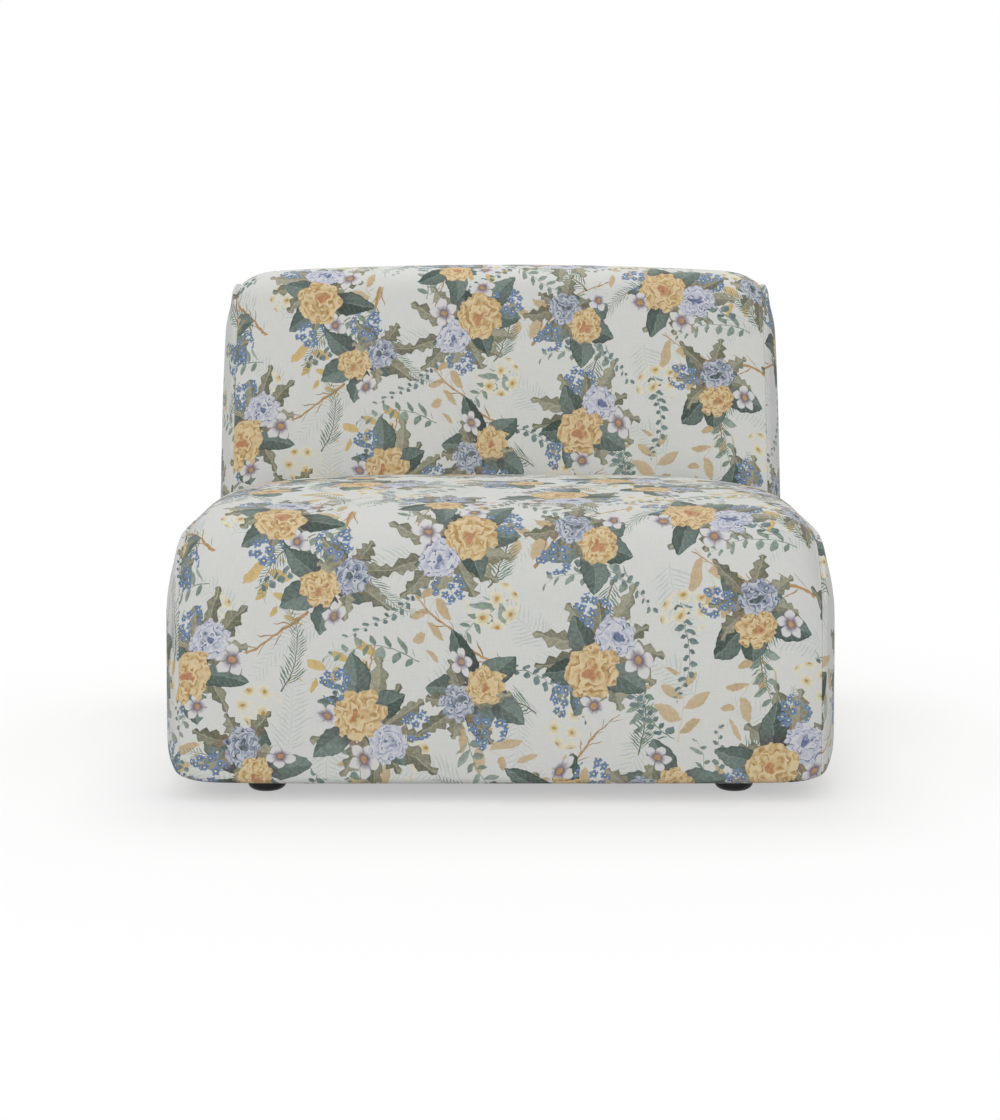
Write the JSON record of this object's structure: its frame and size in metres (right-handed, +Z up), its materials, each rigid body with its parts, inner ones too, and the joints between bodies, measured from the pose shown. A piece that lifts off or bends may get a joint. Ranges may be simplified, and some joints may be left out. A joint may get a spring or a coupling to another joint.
{
  "type": "modular sofa",
  "caption": "Armless unit of a modular sofa: a deep padded seat base with a leaning backrest, covered in floral print cloth, on low round feet, with swing-out links under its side.",
  "frame": {"origin": "on the floor, in the middle of the sofa's plan", "axes": "+X to the right as seen from the front, +Y from the front to the back, +Z up"},
  "size_m": [0.9762, 0.961, 0.7633],
  "materials": {
    "printed_cloth": "matte",
    "foam": "matte",
    "felt": "matte",
    "dust_cloth": "matte",
    "webbing": "matte",
    "timber": "matte",
    "plywood": "matte",
    "hardboard": "matte",
    "spring_steel": "satin",
    "zinc_plated_steel": "satin",
    "foot_plastic": "matte"
  },
  "bodies": {
    "sofa": {"back_bolts": "zinc_plated_steel", "back_bottom_board": "plywood", "back_foam": "foam", "back_frame_screws": "zinc_plated_steel", "back_gable_left": "plywood", "back_gable_right": "plywood", "back_middle_rail": "timber", "back_nuts": "zinc_plated_steel", "back_rear_board": "hardboard", "back_side_panel_left": "printed_cloth", "back_side_panel_right": "printed_cloth", "back_top_rail": "timber", "back_washers": "zinc_plated_steel", "back_webbing": "webbing", "back_wrap_cover": "printed_cloth", "base_center_stretcher": "timber", "base_front_rail": "timber", "base_left_rail": "timber", "base_rear_rail": "timber", "base_right_rail": "timber", "base_side_panel_left": "printed_cloth", "base_side_panel_right": "printed_cloth", "base_spring_rail": "timber", "base_wrap_cover": "printed_cloth", "catch_pin_front": "zinc_plated_steel", "catch_pin_rear": "zinc_plated_steel", "catch_plate_front": "zinc_plated_steel", "catch_plate_rear": "zinc_plated_steel", "corner_block_front_left": "timber", "corner_block_front_right": "timber", "corner_block_rear_left": "timber", "corner_block_rear_right": "timber", "deck_front_board": "plywood", "deck_rear_board": "plywood", "deck_screws": "zinc_plated_steel", "deck_side_left": "plywood", "deck_side_right": "plywood", "deck_top_board": "plywood", "dust_cloth": "dust_cloth", "foot_front_left": "foot_plastic", "foot_front_right": "foot_plastic", "foot_rear_left": "foot_plastic", "foot_rear_right": "foot_plastic", "foot_screws": "zinc_plated_steel", "frame_screws": "zinc_plated_steel", "link_pivot_front": "zinc_plated_steel", "link_pivot_rear": "zinc_plated_steel", "link_plate_front": "zinc_plated_steel", "link_plate_rear": "zinc_plated_steel", "plate_screws": "zinc_plated_steel", "seat_foam": "foam", "seat_spring_1": "spring_steel", "seat_spring_2": "spring_steel", "seat_spring_3": "spring_steel", "seat_spring_4": "spring_steel", "seat_spring_5": "spring_steel", "spring_clips": "spring_steel", "spring_pad": "felt"},
    "link_front": {"link_hook_front": "zinc_plated_steel"},
    "link_rear": {"link_hook_rear": "zinc_plated_steel"}
  },
  "joints": [
    {"name": "link_front_swing", "type": "hinge", "parent": "sofa", "child": "link_front", "pos_m": [-0.4472, -0.23, 0.0275], "axis": [0, 0, 1], "range_deg": [0, 90]},
    {"name": "link_rear_swing", "type": "hinge", "parent": "sofa", "child": "link_rear", "pos_m": [-0.4472, 0.02, 0.0275], "axis": [0, 0, 1], "range_deg": [0, 90]}
  ]
}
